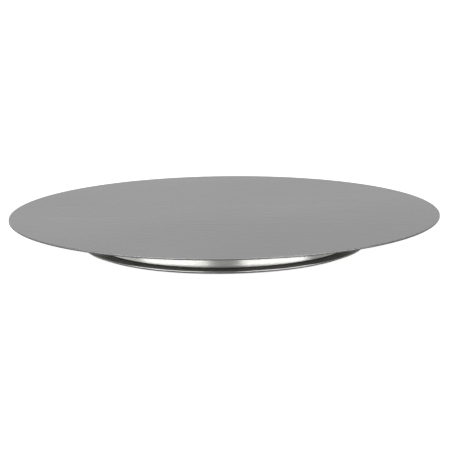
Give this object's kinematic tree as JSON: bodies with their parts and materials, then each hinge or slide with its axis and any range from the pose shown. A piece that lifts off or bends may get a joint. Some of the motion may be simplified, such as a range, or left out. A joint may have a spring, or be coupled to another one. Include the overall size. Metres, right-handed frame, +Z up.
{
  "type": "banding wheel",
  "caption": "Low banding wheel: a flat brushed steel disc that spins freely on a shallow pressed steel base, with a ball race, a spindle in a bush, and a soft foot ring.",
  "frame": {"origin": "centre of the foot ring's underside, where the wheel stands on the table", "axes": "+Z up along the axis that the disc turns about; +X and +Y are any two directions on the table"},
  "size_m": [0.3, 0.3, 0.0225],
  "materials": {
    "brushed_stainless": "fine straight-line brushing",
    "satin_stainless": "polished with faint spinning lines",
    "cover_steel": "matt rolled sheet",
    "turned_steel": "fine turned",
    "race_steel": "ground, lightly oiled",
    "bearing_steel": "polished",
    "spring_steel": "blackened",
    "zinc_plated_steel": "bright zinc plate",
    "bush_bronze": "sintered",
    "housing_aluminium": "turned",
    "cage_plastic": "moulded, natural white",
    "foot_rubber": "soft, matt grey"
  },
  "bodies": {
    "base": {"base_shell": "satin_stainless", "foot_ring": "foot_rubber", "hub_housing": "housing_aluminium", "hub_rivets": "zinc_plated_steel", "spindle_bush": "bush_bronze", "lower_race": "race_steel", "race_rivets": "zinc_plated_steel", "bottom_cover": "cover_steel", "cover_screws": "zinc_plated_steel", "cover_standoff_1": "zinc_plated_steel", "cover_standoff_2": "zinc_plated_steel", "cover_standoff_3": "zinc_plated_steel", "cover_standoff_4": "zinc_plated_steel"},
    "turntable": {"turntable_disc": "brushed_stainless", "spindle": "turned_steel", "hub_studs": "zinc_plated_steel", "hub_nuts": "zinc_plated_steel", "upper_race": "race_steel", "race_studs": "zinc_plated_steel", "race_nuts": "zinc_plated_steel", "thrust_washer": "turned_steel", "spring_washer": "spring_steel", "retaining_clip": "spring_steel"},
    "ball_ring": {"ball_cage": "cage_plastic", "bearing_ball_01": "bearing_steel", "bearing_ball_02": "bearing_steel", "bearing_ball_03": "bearing_steel", "bearing_ball_04": "bearing_steel", "bearing_ball_05": "bearing_steel", "bearing_ball_06": "bearing_steel", "bearing_ball_07": "bearing_steel", "bearing_ball_08": "bearing_steel", "bearing_ball_09": "bearing_steel", "bearing_ball_10": "bearing_steel", "bearing_ball_11": "bearing_steel", "bearing_ball_12": "bearing_steel", "bearing_ball_13": "bearing_steel", "bearing_ball_14": "bearing_steel", "bearing_ball_15": "bearing_steel", "bearing_ball_16": "bearing_steel"}
  },
  "joints": [
    {"name": "turntable_spin", "type": "hinge", "parent": "base", "child": "turntable", "pos_m": [0, 0, 0], "axis": [0, 0, 1], "continuous": true},
    {"name": "ball_ring_spin", "type": "hinge", "parent": "base", "child": "ball_ring", "pos_m": [0, 0, 0], "axis": [0, 0, 1], "continuous": true}
  ],
  "couplings": [
    {"joint": "ball_ring_spin", "follows": "turntable_spin", "ratio": 0.5}
  ]
}
